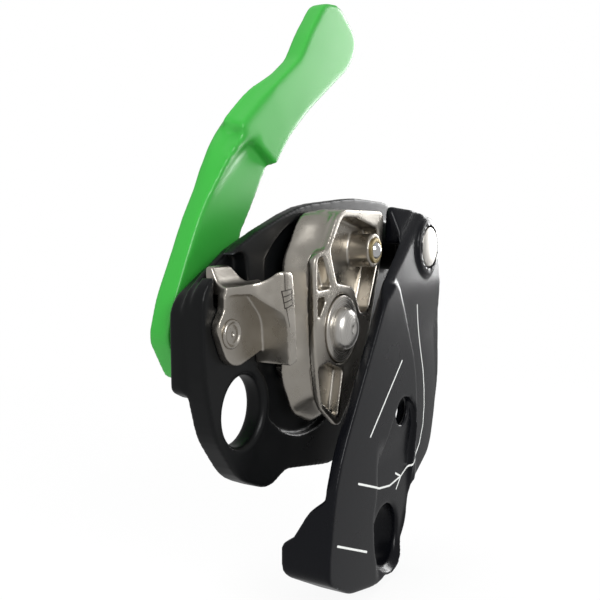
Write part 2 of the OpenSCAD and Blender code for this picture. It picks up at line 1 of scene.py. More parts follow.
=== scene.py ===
import bpy, bmesh, math
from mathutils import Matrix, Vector


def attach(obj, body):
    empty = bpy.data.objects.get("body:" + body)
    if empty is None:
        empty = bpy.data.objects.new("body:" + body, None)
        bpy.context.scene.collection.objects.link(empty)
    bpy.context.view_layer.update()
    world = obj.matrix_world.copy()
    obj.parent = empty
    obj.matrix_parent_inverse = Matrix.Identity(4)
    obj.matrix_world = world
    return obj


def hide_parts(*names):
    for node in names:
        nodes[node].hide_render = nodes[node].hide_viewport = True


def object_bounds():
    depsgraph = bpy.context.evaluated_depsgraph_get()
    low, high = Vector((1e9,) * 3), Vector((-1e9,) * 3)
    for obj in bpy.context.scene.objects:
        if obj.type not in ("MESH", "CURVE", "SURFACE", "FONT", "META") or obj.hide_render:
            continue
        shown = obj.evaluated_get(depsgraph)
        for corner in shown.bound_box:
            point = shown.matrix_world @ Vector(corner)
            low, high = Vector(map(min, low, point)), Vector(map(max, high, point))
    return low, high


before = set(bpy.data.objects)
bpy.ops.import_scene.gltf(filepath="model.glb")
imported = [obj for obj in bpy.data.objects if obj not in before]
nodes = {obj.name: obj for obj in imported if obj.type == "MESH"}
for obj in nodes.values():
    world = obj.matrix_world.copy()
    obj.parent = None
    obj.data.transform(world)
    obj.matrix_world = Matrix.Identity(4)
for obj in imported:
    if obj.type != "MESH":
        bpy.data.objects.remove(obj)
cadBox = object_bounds()
mm = 0.001

# the cam axle and the cover's pivot, both across the plate
axle = Vector((0.035, 0, 0.0185))
pivot = axle + Vector((0.051, 0, 0.022))


def clearSelection():
    if bpy.context.object and bpy.context.object.mode != "OBJECT":
        bpy.ops.object.mode_set(mode="OBJECT")
    bpy.ops.object.select_all(action="DESELECT")


def pick(piece):
    clearSelection()
    piece.select_set(True)
    bpy.context.view_layer.objects.active = piece


def applyModifier(piece, kind, **settings):
    pick(piece)
    modifier = piece.modifiers.new(kind.lower(), kind)
    for key, value in settings.items():
        setattr(modifier, key, value)
    bpy.ops.object.modifier_apply(modifier=modifier.name)


def linearColour(text):
    values = [int(text[i:i + 2], 16) / 255 for i in (1, 3, 5)]
    return [v / 12.92 if v < 0.04045 else ((v + 0.055) / 1.055) ** 2.4 for v in values] + [1]


# settings that are the same all over a surface go straight on the shader's sockets
def newMaterial(name, base, metallic, roughness, **more):
    material = bpy.data.materials.new(name)
    material.use_nodes = True
    shader = material.node_tree.nodes["Principled BSDF"]
    shader.inputs["Base Color"].default_value = linearColour(base)
    shader.inputs["Metallic"].default_value = metallic
    shader.inputs["Roughness"].default_value = roughness
    for key, value in more.items():
        shader.inputs[key.replace("_", " ")].default_value = value
    return material, shader


# a node for a material or a world: in3=... sets input 3, links are (output, input) pairs
def addNode(material, kind, links=(), **settings):
    node = material.node_tree.nodes.new("ShaderNode" + kind)
    for key, value in settings.items():
        if key.startswith("in"):
            node.inputs[int(key[2:])].default_value = value
        else:
            setattr(node, key, value)
    for source, socket in links:
        material.node_tree.links.new(source, node.inputs[socket])
    return node


def plug(material, output, shader, socket):
    material.node_tree.links.new(output, shader.inputs[socket])


# a merged copy of a CAD node, which takes its place with a material of its own
def copyNode(name, pieceName, material):
    piece = bpy.data.objects.new(pieceName, nodes[name].data.copy())
    bpy.context.collection.objects.link(piece)
    piece.data.materials.clear()
    piece.data.materials.append(material)
    pick(piece)
    bpy.ops.object.mode_set(mode="EDIT")
    bpy.ops.mesh.select_all(action="SELECT")
    bpy.ops.mesh.remove_doubles(threshold=0.000002)
    bpy.ops.object.mode_set(mode="OBJECT")
    if piece.data.has_custom_normals:
        bpy.ops.mesh.customdata_custom_splitnormals_clear()
    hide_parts(name)
    return piece


# a turned or stamped part: its own edges get a small rounding that catches light
def softenEdges(piece, width):
    pick(piece)
    bpy.ops.object.mode_set(mode="EDIT")
    bpy.ops.mesh.select_all(action="SELECT")
    bpy.ops.mesh.dissolve_limited(angle_limit=math.radians(2))
    bpy.ops.object.mode_set(mode="OBJECT")
    applyModifier(piece, "BEVEL", width=width, segments=3, limit_method="ANGLE",
                  angle_limit=math.radians(30), use_clamp_overlap=True, harden_normals=False)
    bpy.ops.object.shade_smooth_by_angle(angle=math.radians(35))


# a casting or forging: remade as one skin, shaped, smoothed where it is soft, then rounded all over
def castSkin(piece, look):
    applyModifier(piece, "REMESH", mode="VOXEL", voxel_size=look["voxel"], adaptivity=0)
    if "shape" in look:
        look["shape"](piece)
        applyModifier(piece, "REMESH", mode="VOXEL", voxel_size=look["voxel"], adaptivity=0)
    if "soft" in look:
        group = piece.vertex_groups.new(name="soft")
        for v in piece.data.vertices:
            weight = look["soft"](v.co)
            if weight > 0:
                group.add([v.index], weight, "REPLACE")
        applyModifier(piece, "SMOOTH", factor=0.5, iterations=look["softRounds"], vertex_group="soft")
        piece.vertex_groups.clear()
    applyModifier(piece, "SMOOTH", factor=0.5, iterations=look["rounds"])
    applyModifier(piece, "DECIMATE", ratio=look["keep"])
    pick(piece)
    bpy.ops.object.shade_smooth()


# smooth rise from 0 to 1 between two values
def ease(value, low, high):
    t = min(max((value - low) / (high - low), 0), 1)
    return t * t * (3 - 2 * t)


# where a point lies on the plate, in mm to the right of the axle and above it
def flat(co):
    return (co.x - axle.x) / mm, (co.z - axle.z) / mm


# a lathe-turned piece: a profile of (radius, depth) corners in mm, spun about an axis along Y
def turnPiece(name, centre, look):
    clearSelection()
    mesh = bpy.data.meshes.new(name)
    piece = bpy.data.objects.new(name, mesh)
    bpy.context.collection.objects.link(piece)
    shape = bmesh.new()
    points = [shape.verts.new((centre.x + r * mm, y * mm, centre.z)) for r, y in look["profile"]]
    for a, b in zip(points, points[1:]):
        shape.edges.new((a, b))
    shape.to_mesh(mesh)
    shape.free()
    pick(piece)
    bpy.ops.object.mode_set(mode="EDIT")
    bpy.ops.mesh.select_all(action="SELECT")
    bpy.ops.mesh.spin(steps=look["steps"], angle=math.tau, center=(centre.x, 0, centre.z), axis=(0, 1, 0))
    bpy.ops.mesh.select_all(action="SELECT")
    bpy.ops.mesh.remove_doubles(threshold=0.00001)
    bpy.ops.mesh.normals_make_consistent(inside=False)
    bpy.ops.object.mode_set(mode="OBJECT")
    applyModifier(piece, "BEVEL", width=look["edge"], segments=3, limit_method="ANGLE",
                  angle_limit=math.radians(30), use_clamp_overlap=True)
    bpy.ops.object.shade_smooth_by_angle(angle=math.radians(40))
    piece.data.materials.append(look["material"])
    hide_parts(look["replaces"])
    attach(piece, look["body"])


print("tools ready")


# how near a surface point is to a path drawn on the X-Z plane, from 1 on the path to 0 off it
def pathMask(material, place, corners, width):
    blur = 0.12
    level = addNode(material, "VectorMath", [(place, 0)], operation="MULTIPLY", in1=(1, 0, 1)).outputs[0]
    nearest = None
    for a, b in zip(corners, corners[1:]):
        start = Vector((axle.x + a[0] * mm, 0, axle.z + a[1] * mm))
        run = Vector(((b[0] - a[0]) * mm, 0, (b[1] - a[1]) * mm))
        offset = addNode(material, "VectorMath", [(level, 0)], operation="SUBTRACT", in1=start).outputs[0]
        share = addNode(material, "VectorMath", [(offset, 0)], operation="DOT_PRODUCT",
                        in1=run / run.length_squared).outputs[1]
        share = addNode(material, "Clamp", [(share, 0)]).outputs[0]
        spot = addNode(material, "VectorMath", [(share, 1)], operation="MULTIPLY_ADD",
                       in0=run, in2=start).outputs[0]
        gap = addNode(material, "VectorMath", [(spot, 0), (level, 1)], operation="DISTANCE").outputs[1]
        if nearest is None:
            nearest = gap
        else:
            nearest = addNode(material, "Math", [(nearest, 0), (gap, 1)], operation="MINIMUM").outputs[0]
    return addNode(material, "MapRange", [(nearest, 0)], in1=width / 2 * mm, in2=(width / 2 + blur) * mm,
                   in3=1.0, in4=0.0).outputs[0]


def joinMasks(material, masks):
    joined = masks[0]
    for mask in masks[1:]:
        joined = addNode(material, "Math", [(joined, 0), (mask, 1)], operation="MAXIMUM").outputs[0]
    return joined


# 1 where a surface faces the cover side
def frontMask(material):
    normal = addNode(material, "NewGeometry").outputs["True Normal"]
    depth = addNode(material, "SeparateXYZ", [(normal, 0)]).outputs[1]
    return addNode(material, "MapRange", [(depth, 0)], in1=-0.3, in2=-0.5).outputs[0]


# black anodised aluminium: fine blasted grain, patches that hands have polished, edges painted paler, part
# rubbed wear and part a painted edge highlight.
# paint, if any, is a list of paths printed in white on the faces that look forward
def makeAnodised(name, look, paint=()):
    material, shader = newMaterial(name, look["base"], 0.0, look["dull"][0],
                                   Specular_IOR_Level=look["gloss"])
    place = addNode(material, "TexCoord").outputs["Object"]
    grain = addNode(material, "TexNoise", [(place, "Vector")], in2=1 / (look["grainMm"] * mm), in3=3.0)
    patch = addNode(material, "TexNoise", [(place, "Vector")], in2=1 / (look["patchMm"] * mm), in3=4.0)
    dull = addNode(material, "MapRange", [(patch.outputs[0], 0)], in1=0.3, in2=0.7,
                   in3=look["dull"][0], in4=look["dull"][1])
    plug(material, dull.outputs[0], shader, "Roughness")
    # painted edge highlight, partly rubbed wear: sharp edges are mixed towards a paler grey
    edge = addNode(material, "NewGeometry").outputs["Pointiness"]
    wearAndHighlight = addNode(material, "MapRange", [(edge, 0)], in1=look["wearAndHighlight"][0], in2=look["wearAndHighlight"][1])
    colour = addNode(material, "Mix", [(wearAndHighlight.outputs[0], 0)], data_type="RGBA",
                     in6=linearColour(look["base"]), in7=linearColour(look["rubbedEdgeHighlight"])).outputs[2]
    if paint:
        drawn = joinMasks(material, [pathMask(material, place, path, width) for path, width in paint])
        ink = addNode(material, "Math", [(drawn, 0), (frontMask(material), 1)],
                      operation="MULTIPLY").outputs[0]
        colour = addNode(material, "Mix", [(ink, 0), (colour, 6)], data_type="RGBA",
                         in7=linearColour(look["ink"])).outputs[2]
    plug(material, colour, shader, "Base Color")
    bump = addNode(material, "Bump", [(grain.outputs[0], "Height")], in0=0.1, in1=0.0001)
    plug(material, bump.outputs[0], shader, "Normal")
    return material


# investment-cast stainless steel, tumbled to a soft shine: faint orange peel, and painted shade, a dark
# brown, in the corners. The grain is drawn coarser than real, so that it shows. etched paths are cut in
# dark
def makeCastSteel(name, look, etched=()):
    material, shader = newMaterial(name, look["base"], 1.0, look["dull"][0])
    place = addNode(material, "TexCoord").outputs["Object"]
    grain = addNode(material, "TexNoise", [(place, "Vector")], in2=1 / (look["grainMm"] * mm), in3=4.0)
    patch = addNode(material, "TexNoise", [(place, "Vector")], in2=1 / (look["patchMm"] * mm), in3=3.0)
    dull = addNode(material, "MapRange", [(patch.outputs[0], 0)], in1=0.3, in2=0.7,
                   in3=look["dull"][0], in4=look["dull"][1])
    plug(material, dull.outputs[0], shader, "Roughness")
    colour = addNode(material, "Mix", [(patch.outputs[0], 0)], data_type="RGBA",
                     in6=linearColour(look["base"]), in7=linearColour(look["light"])).outputs[2]
    # painted shade: hollows are mixed towards a dark brown
    hollow = addNode(material, "NewGeometry").outputs["Pointiness"]
    hollowShade = addNode(material, "MapRange", [(hollow, 0)], in1=0.38, in2=0.48, in3=0.8, in4=0.0).outputs[0]
    colour = addNode(material, "Mix", [(hollowShade, 0), (colour, 6)], data_type="RGBA",
                     in7=linearColour(look["hollowShade"])).outputs[2]
    if etched:
        drawn = joinMasks(material, [pathMask(material, place, path, width) for path, width in etched])
        cut = addNode(material, "Math", [(drawn, 0), (frontMask(material), 1)],
                      operation="MULTIPLY").outputs[0]
        colour = addNode(material, "Mix", [(cut, 0), (colour, 6)], data_type="RGBA",
                         in7=linearColour(look["etched"])).outputs[2]
    plug(material, colour, shader, "Base Color")
    bump = addNode(material, "Bump", [(grain.outputs[0], "Height")], in0=0.12, in1=0.0001)
    plug(material, bump.outputs[0], shader, "Normal")
    return material


# turned steel: the lathe leaves fine rings round the axis, which stretch each highlight across them
def makeTurned(name, centre, look):
    material, shader = newMaterial(name, look["base"], 1.0, look["dull"][0])
    place = addNode(material, "TexCoord").outputs["Object"]
    local = addNode(material, "VectorMath", [(place, 0)], operation="SUBTRACT", in1=centre)
    flatRing = addNode(material, "VectorMath", [(local.outputs[0], 0)], operation="MULTIPLY", in1=(1, 0, 1))
    radius = addNode(material, "VectorMath", [(flatRing.outputs[0], 0)], operation="LENGTH")
    rings = addNode(material, "TexNoise", [(radius.outputs[1], "W")], noise_dimensions="1D",
                    in1=0.0, in2=1 / (look["ringMm"] * mm), in3=2.0)
    dull = addNode(material, "MapRange", [(rings.outputs[0], 0)], in1=0.3, in2=0.7,
                   in3=look["dull"][0], in4=look["dull"][1])
    plug(material, dull.outputs[0], shader, "Roughness")
    colour = addNode(material, "Mix", [(rings.outputs[0], 0)], data_type="RGBA",
                     in6=linearColour(look["base"]), in7=linearColour(look["light"])).outputs[2]
    plug(material, colour, shader, "Base Color")
    bump = addNode(material, "Bump", [(rings.outputs[0], "Height")], in0=0.05, in1=0.00005)
    plug(material, bump.outputs[0], shader, "Normal")
    return material


# glass-filled nylon from a spark-eroded mould: even colour, satin skin, faint mottle
def makeNylon(name, look):
    material, shader = newMaterial(name, look["base"], 0.0, look["dull"][0])
    place = addNode(material, "TexCoord").outputs["Object"]
    grain = addNode(material, "TexNoise", [(place, "Vector")], in2=1 / (look["grainMm"] * mm), in3=2.0)
    patch = addNode(material, "TexNoise", [(place, "Vector")], in2=1 / (look["patchMm"] * mm), in3=2.0)
    colour = addNode(material, "Mix", [(patch.outputs[0], 0)], data_type="RGBA",
                     in6=linearColour(look["base"]), in7=linearColour(look["light"]))
    plug(material, colour.outputs[2], shader, "Base Color")
    dull = addNode(material, "MapRange", [(patch.outputs[0], 0)], in1=0.3, in2=0.7,
                   in3=look["dull"][0], in4=look["dull"][1])
    plug(material, dull.outputs[0], shader, "Roughness")
    bump = addNode(material, "Bump", [(grain.outputs[0], "Height")], in0=0.06, in1=0.0001)
    plug(material, bump.outputs[0], shader, "Normal")
    return material


# any small part: one colour broken up by fine grain
def makeGrained(name, look):
    material, shader = newMaterial(name, look["base"], look["metal"], look["dull"])
    place = addNode(material, "TexCoord").outputs["Object"]
    grain = addNode(material, "TexNoise", [(place, "Vector")], in2=1 / (look["grainMm"] * mm), in3=3.0)
    tint = addNode(material, "Mix", [(grain.outputs[0], 0)], data_type="RGBA",
                   in6=linearColour(look["base"]), in7=linearColour(look["light"]))
    plug(material, tint.outputs[2], shader, "Base Color")
    dull = addNode(material, "MapRange", [(grain.outputs[0], 0)],
                   in3=look["dull"] - 0.06, in4=look["dull"] + 0.08)
    plug(material, dull.outputs[0], shader, "Roughness")
    bump = addNode(material, "Bump", [(grain.outputs[0], "Height")], in0=0.06, in1=0.0001)
    plug(material, bump.outputs[0], shader, "Normal")
    return material


# printed on the cover: a plain rope guide, in from the lower left and up beside the push hole to the
# head, with an arrow, and two plain lines. All in mm from the axle
ropeLine = [(-4, -44), (6, -47.8), (17, -52), (25, -53.4), (34, -52.8), (42, -50), (48, -45), (51.2, -39),
            (52.2, -33), (52, -27), (50.7, -20), (47.4, -10.9), (44.8, -2.1), (43.5, 3)]
arrowHead = [(29.6, -50.6), (34, -52.8), (30.4, -56)]
longBar = [(4, -32), (27, -13)]
shortBar = [(-17, -58), (2, -66.5)]
inkWidth = 0.5
coverPaint = [(path, inkWidth) for path in (ropeLine, arrowHead, longBar, shortBar)]

# etched on the jaw's front plate: a box of hatching on a long stroke
hatchLines = [[(-31.9, 17.7), (-31.8, 13.6)], [(-32.6, 13.5), (-29.2, 13.9)], [(-32.4, 12), (-29, 12.7)],
              [(-32.2, 10.5), (-28.8, 11.2)], [(-31.9, 9), (-28.5, 9.7)], [(-31.6, 9.2), (-29.9, 4)],
              [(-32.6, 13.5), (-31.9, 9)], [(-29.2, 13.9), (-28.5, 9.7)]]
etchWidth = 0.12
jawEtching = [(line, etchWidth) for line in hatchLines]

# hot-forged aluminium, blasted and anodised black: dark satin, little sheen, edges painted paler as wear
# and a painted highlight
anodisedForging = makeAnodised("anodisedForging", {
    "base": "#0b0c0d", "rubbedEdgeHighlight": "#4c4f52", "dull": (0.26, 0.4), "wearAndHighlight": (0.55, 0.63),
    "grainMm": 0.35, "patchMm": 14, "gloss": 0.2})

# the same on the cover, polished first: a bluer, smoother black that keeps its print
anodisedPlate = makeAnodised("anodisedPlate", {
    "base": "#0a0b0f", "rubbedEdgeHighlight": "#5c6064", "dull": (0.2, 0.3), "wearAndHighlight": (0.6, 0.72),
    "grainMm": 0.3, "patchMm": 22, "gloss": 0.2, "ink": "#e9ebe8"}, coverPaint)

# the cam and the jaw come out of one foundry: warm grey, soft shine on every edge, painted shade in the
# hollows
castStainless = makeCastSteel("castStainless", {
    "base": "#aaa499", "light": "#c2bdb5", "dull": (0.24, 0.36), "grainMm": 0.5, "patchMm": 6,
    "hollowShade": "#3d3831"})
castJawSteel = makeCastSteel("castJawSteel", {
    "base": "#aaa499", "light": "#c2bdb5", "dull": (0.24, 0.34), "grainMm": 0.5, "patchMm": 6,
    "hollowShade": "#3d3831", "etched": "#3b3431"}, jawEtching)

# turned pins: the axle warm grey, the button paler and cleaner, the pivot's head duller
turnedAxle = makeTurned("turnedAxleSteel", axle, {
    "base": "#b8b3aa", "light": "#d0ccc6", "dull": (0.2, 0.32), "ringMm": 0.25})
turnedButton = makeTurned("turnedButtonSteel", axle, {
    "base": "#c4c1bb", "light": "#dad8d4", "dull": (0.24, 0.36), "ringMm": 0.25})
turnedPivot = makeTurned("turnedPivotSteel", pivot, {
    "base": "#a5a29c", "light": "#bcb9b3", "dull": (0.3, 0.4), "ringMm": 0.3})

# moulded nylon: one even leaf green with a satin shine
mouldedNylon = makeNylon("mouldedNylon", {
    "base": "#2f9a35", "light": "#37a23a", "dull": (0.3, 0.4), "grainMm": 0.4, "patchMm": 18})

# cold-headed rivet steel: bright where the tool rubbed it
rivetSteel = makeGrained("peenedRivetSteel", {
    "base": "#a8a299", "light": "#c4bfb6", "metal": 1.0, "dull": 0.26, "grainMm": 0.8})
# lapped bearing steel: nearly a mirror
polishedBall = makeGrained("polishedBallSteel", {
    "base": "#cfcfcf", "light": "#e6e6e6", "metal": 1.0, "dull": 0.1, "grainMm": 2.0})
# turned brass, gone dull with handling
turnedBrass = makeGrained("turnedBrass", {
    "base": "#9a8a62", "light": "#b3a47c", "metal": 1.0, "dull": 0.42, "grainMm": 0.6})
# pressed and sintered bronze: matt brown, full of pores
sinteredBronze = makeGrained("sinteredBronze", {
    "base": "#7d5c36", "light": "#a07a4b", "metal": 1.0, "dull": 0.45, "grainMm": 0.3})
# drawn spring wire: dark grey, smooth
springWire = makeGrained("springWire", {
    "base": "#6d6b68", "light": "#8c8a86", "metal": 1.0, "dull": 0.3, "grainMm": 0.5})
# ground washer steel: plain mid grey
groundWasher = makeGrained("groundWasherSteel", {
    "base": "#8f8c86", "light": "#b2afa8", "metal": 1.0, "dull": 0.32, "grainMm": 0.5})
# stamped aluminium sheet: pale, slightly matt
stampedAluminium = makeGrained("stampedAluminium", {
    "base": "#9c9c9c", "light": "#bdbdbd", "metal": 1.0, "dull": 0.4, "grainMm": 0.5})
# oiled screw steel: darker grey
screwSteel = makeGrained("screwSteel", {
    "base": "#6f6e6a", "light": "#8b8a86", "metal": 1.0, "dull": 0.35, "grainMm": 0.5})
# moulded nylon cap: flat black
mouldedCap = makeGrained("mouldedNylonCap", {
    "base": "#101112", "light": "#1a1b1c", "metal": 0.0, "dull": 0.5, "grainMm": 0.5})
print("materials ready")


# the ridge that runs down the cover, in mm from the axle
ridge = [(22.6, 12.5), (28.8, 3.7), (33.2, -4), (37.8, -13.6), (39.8, -22.3), (40.8, -34.3), (42.3, -43.1),
         (42.5, -58)]


# distance in mm from a point to the ridge, positive to its right
def besideRidge(x, z):
    best = None
    for a, b in zip(ridge, ridge[1:]):
        run = Vector((b[0] - a[0], b[1] - a[1]))
        offset = Vector((x - a[0], z - a[1]))
        share = min(max(offset.dot(run) / run.length_squared, 0), 1)
        gap = (offset - run * share).length
        side = -1 if run.x * offset.y - run.y * offset.x < 0 else 1
        if best is None or gap < abs(best):
            best = gap * side
    return best


coverLook = {
    "plate": 3.4,  # thickness that takes the slopes
    "drop": 1.2, "bulge": 0.0022, "dropWidth": (-0.4, 2.4),  # right of the ridge: a step, then a round
    "headCalm": 0.8, "headFrom": -8, "headTo": 12,  # both fade towards the head
    "dish": 2.2, "dishLeft": (8, 15), "dishRight": (-1.5, 4.5), "dishTop": (34, 46), "dishFoot": (-80, -72),
    "lean": (-36, 0.03), "widen": (-50, 0.1),  # the dish's left wall changes below a height, by a rate
    "flankStart": (24.5, 13.5), "flankAngle": math.radians(36.5), "flankFall": 0.554,
    "most": 2.5, "flankMore": 2, "flankWidth": 6,
    "pin": (51, 22), "pinHead": 7.4,  # left flat round the pivot's head
    "eye": (21.97, -68.52), "collar": 12.9, "collarFrom": -18.0, "collarTo": -14.5, "deeper": 5.3,
    "footSoft": 0.8, "footBelow": (44, 60), "footRight": (-16, -6),
    "cornerAbove": (25, 32), "cornerLeft": (36, 42),
}


# depth in mm of the cover's front below its highest face: a slope right of the ridge, a scooped dish
# above the eye, and the sloping flank at the head's upper left
def coverDepth(x, z):
    look = coverLook
    side = besideRidge(x, z)
    depth = look["drop"] * ease(side, *look["dropWidth"]) + look["bulge"] * max(side, 0) ** 2
    depth *= 1 - look["headCalm"] * ease(z, look["headFrom"], look["headTo"])
    wallFoot, wallTop = look["dishLeft"]
    leanBelow, lean = look["lean"]
    widenBelow, widen = look["widen"]
    wallFoot += max(leanBelow - z, 0) * lean
    wallTop -= max(widenBelow - z, 0) * widen
    wall = min(ease(x, wallFoot, wallTop), ease(-side, *look["dishRight"]))
    depth = max(depth, look["dish"] * wall * ease(-z, *look["dishTop"]) * ease(z, *look["dishFoot"]))
    startX, startZ = look["flankStart"]
    above = -(x - startX) * math.sin(look["flankAngle"]) + (z - startZ) * math.cos(look["flankAngle"])
    limit = look["most"] + look["flankMore"] * ease(above, 0, look["flankWidth"])
    return min(max(depth, look["flankFall"] * above), limit)


# the front takes its slopes, and the collar behind the eye is drawn deeper, so that the eye looks dark
def shapeCover(piece):
    look = coverLook
    front = cadBox[0][1]
    pinX, pinZ = look["pin"]
    eyeX, eyeZ = look["eye"]
    for v in piece.data.vertices:
        x, z = flat(v.co)
        share = 1 - (v.co.y - front) / (look["plate"] * mm)
        if share > 0 and math.hypot(x - pinX, z - pinZ) > look["pinHead"]:
            v.co.y += share * max(coverDepth(x, z), 0) * mm
        if math.hypot(x - eyeX, z - eyeZ) < look["collar"] and v.co.y > look["collarFrom"] * mm:
            share = (v.co.y / mm - look["collarFrom"]) / (look["collarTo"] - look["collarFrom"])
            v.co.y += look["deeper"] * min(share, 1) * mm


# how far a point of the cover is smoothed again: its foot, and the corner at the head's upper left
def softCover(co):
    look = coverLook
    x, z = flat(co)
    foot = look["footSoft"] * ease(-z, *look["footBelow"]) * ease(x, *look["footRight"])
    corner = ease(z, *look["cornerAbove"]) * (1 - ease(x, *look["cornerLeft"]))
    return max(foot, corner)


leverLook = {
    "stepAt": (-3, 47.4), "run": (0.507, 0.862),  # where the grip's step is, and the lever's direction
    "arm": 9.45, "face": 0.3, "step": 3.0, "blend": 0.4,
    "ramp": 30, "inner": 11.5, "rampWidth": 10, "hubTop": 8,
    "swell": 2.6, "swellFrom": (-24, -2), "swellTo": (12, 30), "swellDepth": 3.5,
    "edgeAtStep": 17.1, "edgeLean": 0.35, "edgeWidth": 7, "edgeFade": 4,
    "gripSoft": 0.45, "gripFrom": (6, 26),
    "kinkAcross": (9, 12), "kinkFrom": (-20, -8), "kinkTo": (12, 24),
    "armSoft": 0.3, "armAcross": (12, 16), "armFrom": (-52, -40),
}


# where a point lies on the lever, in mm past the grip's step and towards the outer edge
def leverSpot(co):
    x, z = flat(co)
    stepX, stepZ = leverLook["stepAt"]
    runX, runZ = leverLook["run"]
    return (x - stepX) * runX + (z - stepZ) * runZ, (x - stepX) * -runZ + (z - stepZ) * runX


# the grip stands forward of the arm: a hard step near the inner edge, a long ramp near the outer edge.
# The back of the outer edge is drawn out, so that the side stays one smooth band past the step
def shapeLever(piece):
    look = leverLook
    runX, runZ = look["run"]
    for v in piece.data.vertices:
        z = flat(v.co)[1]
        along, across = leverSpot(v.co)
        ramp = look["ramp"] * ease(across, look["inner"], look["inner"] + look["rampWidth"])
        if v.co.y < (look["arm"] + look["face"]) * mm and z > look["hubTop"]:
            rise = look["step"] * ease(along, -look["blend"] - ramp, look["blend"])
            v.co.y = (look["arm"] - rise) * mm
        band = look["edgeAtStep"] - look["edgeLean"] * along - look["edgeWidth"]
        outward = look["swell"] * ease(along, *look["swellFrom"]) * (1 - ease(along, *look["swellTo"]))
        outward *= ease(across, band, band + look["edgeFade"])
        outward *= ease(v.co.y / mm, look["arm"], look["arm"] + look["swellDepth"])
        v.co.x -= runZ * outward * mm
        v.co.z += runX * outward * mm


# how far a point of the lever is smoothed again: the grip, the outer edge by the step, and the arm
def softLever(co):
    look = leverLook
    along, across = leverSpot(co)
    grip = look["gripSoft"] * ease(along, *look["gripFrom"])
    kink = ease(along, *look["kinkFrom"]) * (1 - ease(along, *look["kinkTo"]))
    kink *= ease(across, *look["kinkAcross"])
    arm = look["armSoft"] * ease(across, *look["armAcross"]) * ease(along, *look["armFrom"])
    return max(grip, kink, arm)


# the cam's side between its front flange and its back, as the two outlines that it runs between
camWaist = [(-14.2, 21), (-9.5, 23.5), (-2.5, 33.7), (12, 33.7), (12, -18), (9, -18), (-1.5, -25),
            (-11, -18), (-13.3, -5), (-13.6, 6)]
camBack = [(-17, 20.8), (-14.4, 23.4), (-7, 33.7), (12, 33.7), (12, -20), (10, -20), (0, -29.4),
           (-12, -24), (-18, -12), (-17, 4)]
camLook = {
    "front": -11.7, "back": -4.2, "backEase": 1.0, "end": -3.5,  # depths
    "inner": 1.2, "right": 4, "topLeft": -2, "top": 33,  # what keeps its place
    "softDepth": (-11.4, -10.4), "softRadius": (12.4, 13.6), "softLeft": (0, 4),
}


# distance from the axle to an outline, along the ray at an angle
def reachOf(corners, angle):
    ray = Vector((math.cos(angle), math.sin(angle)))
    best = None
    for a, b in zip(corners, corners[1:] + corners[:1]):
        run = Vector((b[0] - a[0], b[1] - a[1]))
        cross = ray.x * run.y - ray.y * run.x
        if abs(cross) < 0.000001:
            continue
        far = (a[0] * run.y - a[1] * run.x) / cross
        share = (a[0] * ray.y - a[1] * ray.x) / cross
        if far > 0 and 0 <= share <= 1 and (best is None or far > best):
            best = far
    return best


# the same for an outline part of the way from the waist to the back, its corners rounded
def camReach(share, angle):
    outline = [(a[0] + (b[0] - a[0]) * share, a[1] + (b[1] - a[1]) * share)
               for a, b in zip(camWaist, camBack)]
    turns = (-0.1, -0.05, 0, 0.05, 0.1)
    return sum(reachOf(outline, angle + turn) for turn in turns) / len(turns)


# the cam's stepped side becomes one smooth surface; its front, back, right side and top stay
def shapeCam(piece):
    look = camLook
    for v in piece.data.vertices:
        x, z = flat(v.co)
        depth = v.co.y / mm
        onTop = x > look["topLeft"] and z > look["top"]
        if not look["front"] < depth < look["end"] or x > look["right"] or onTop:
            continue
        angle = math.atan2(z, x)
        if math.hypot(x, z) > camReach(0, angle) - look["inner"]:
            wanted = camReach(ease(depth, look["front"], look["back"] + look["backEase"]), angle)
            v.co.x = axle.x + wanted * math.cos(angle) * mm
            v.co.z = axle.z + wanted * math.sin(angle) * mm


# the cam is smoothed again behind its flange and clear of its hub
def softCam(co):
    look = camLook
    x, z = flat(co)
    behind = ease(co.y / mm, *look["softDepth"])
    return behind * ease(math.hypot(x, z), *look["softRadius"]) * (1 - ease(x, *look["softLeft"]))


# the jaw is smoothed again along its lip
def softJaw(co):
    lip = (12, 16)
    return ease(flat(co)[1], *lip)


# voxel is the skin's fineness, rounds and softRounds are how often it is smoothed, and keep is the
# share of its faces that stays
castings = {
    "body_plate": {"piece": "forgedBody", "body": "body", "material": anodisedForging,
                   "voxel": 0.5 * mm, "rounds": 7, "keep": 0.45},
    "brake_jaw": {"piece": "castJaw", "body": "body", "material": castJawSteel,
                  "voxel": 0.25 * mm, "rounds": 8, "keep": 0.5, "soft": softJaw, "softRounds": 30},
    "cam": {"piece": "castCam", "body": "cam_body", "material": castStainless,
            "voxel": 0.32 * mm, "rounds": 5, "keep": 0.5, "shape": shapeCam,
            "soft": softCam, "softRounds": 12},
    "cover_plate": {"piece": "forgedCover", "body": "cover_body", "material": anodisedPlate,
                    "voxel": 0.42 * mm, "rounds": 7, "keep": 0.5, "shape": shapeCover,
                    "soft": softCover, "softRounds": 30},
    "lever_grip": {"piece": "mouldedLever", "body": "lever_body", "material": mouldedNylon,
                   "voxel": 0.5 * mm, "rounds": 7, "keep": 0.5, "shape": shapeLever,
                   "soft": softLever, "softRounds": 70},
}
for name, look in castings.items():
    piece = copyNode(name, look["piece"], look["material"])
    castSkin(piece, look)
    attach(piece, look["body"])
    print("cast", name, len(piece.data.polygons))

